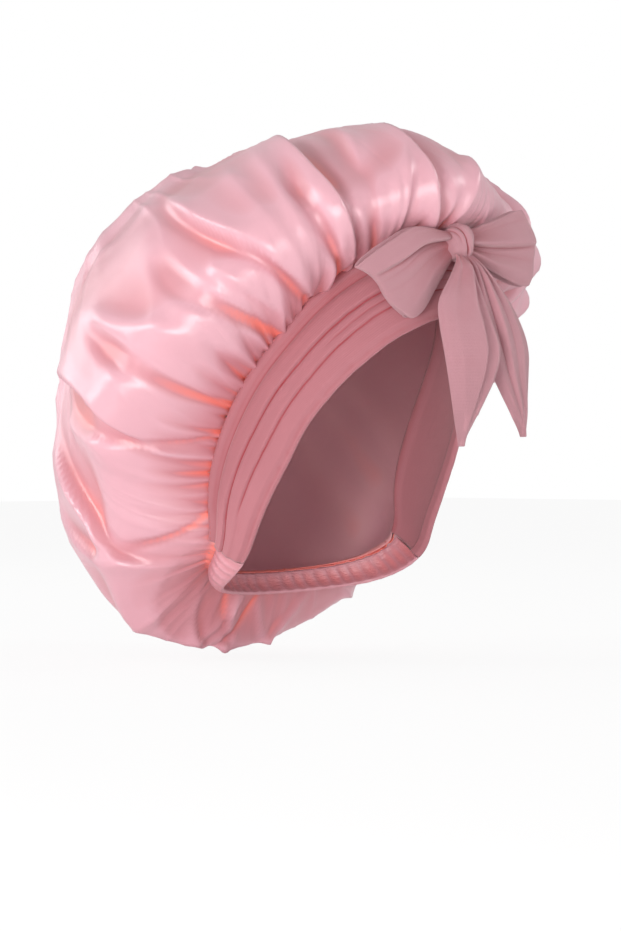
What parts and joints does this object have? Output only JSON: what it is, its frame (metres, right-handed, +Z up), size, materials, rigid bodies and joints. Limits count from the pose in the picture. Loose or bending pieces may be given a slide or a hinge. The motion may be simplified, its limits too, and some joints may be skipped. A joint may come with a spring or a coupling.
{
  "type": "hair bonnet",
  "caption": "Full gathered satin bonnet on a pleated stretch band, elastic at the nape and tied in a bow at the front.",
  "frame": {"origin": "centre of the opening that the head goes into", "axes": "+X is the wearer's left, -Y the wearer's front and +Z up, as the bonnet is worn on an upright head"},
  "size_m": [0.3118, 0.3192, 0.3318],
  "materials": {
    "crown_satin": "light pink satin weave, soft sheen",
    "lining_satin": "light pink satin, inner face",
    "casing_satin": "light pink satin, gathered over elastic",
    "band_jersey": "dusty rose stretch knit, matte",
    "facing_jersey": "dusty rose stretch knit, inner layer",
    "tie_jersey": "dusty rose knit tie, matte",
    "elastic": "woven elastic tape, off white"
  },
  "bodies": {
    "bonnet": {"crown_outer": "crown_satin", "crown_lining": "lining_satin", "pleated_band": "band_jersey", "band_facing": "facing_jersey", "nape_casing": "casing_satin", "nape_elastic": "elastic", "tie_root_left": "tie_jersey", "tie_root_right": "tie_jersey", "bow_knot": "tie_jersey"},
    "loop_left": {"bow_loop_left": "tie_jersey"},
    "loop_right": {"bow_loop_right": "tie_jersey"},
    "tail_left": {"bow_tail_left": "tie_jersey"},
    "tail_right": {"bow_tail_right": "tie_jersey"}
  },
  "joints": [
    {"name": "loop_left_lift", "type": "hinge", "parent": "bonnet", "child": "loop_left", "pos_m": [0, -0.0948, 0.1249], "axis": [0, 0, -1], "range_deg": [0, 12], "stiffness_Nm_per_rad": 0.002},
    {"name": "loop_right_lift", "type": "hinge", "parent": "bonnet", "child": "loop_right", "pos_m": [0, -0.0948, 0.1249], "axis": [0, 0, 1], "range_deg": [0, 12], "stiffness_Nm_per_rad": 0.002},
    {"name": "tail_left_swing", "type": "hinge", "parent": "bonnet", "child": "tail_left", "pos_m": [0, -0.0948, 0.1249], "axis": [-1, 0, 0], "range_deg": [0, 60]},
    {"name": "tail_right_swing", "type": "hinge", "parent": "bonnet", "child": "tail_right", "pos_m": [0, -0.0948, 0.1249], "axis": [-1, 0, 0], "range_deg": [0, 60]}
  ]
}
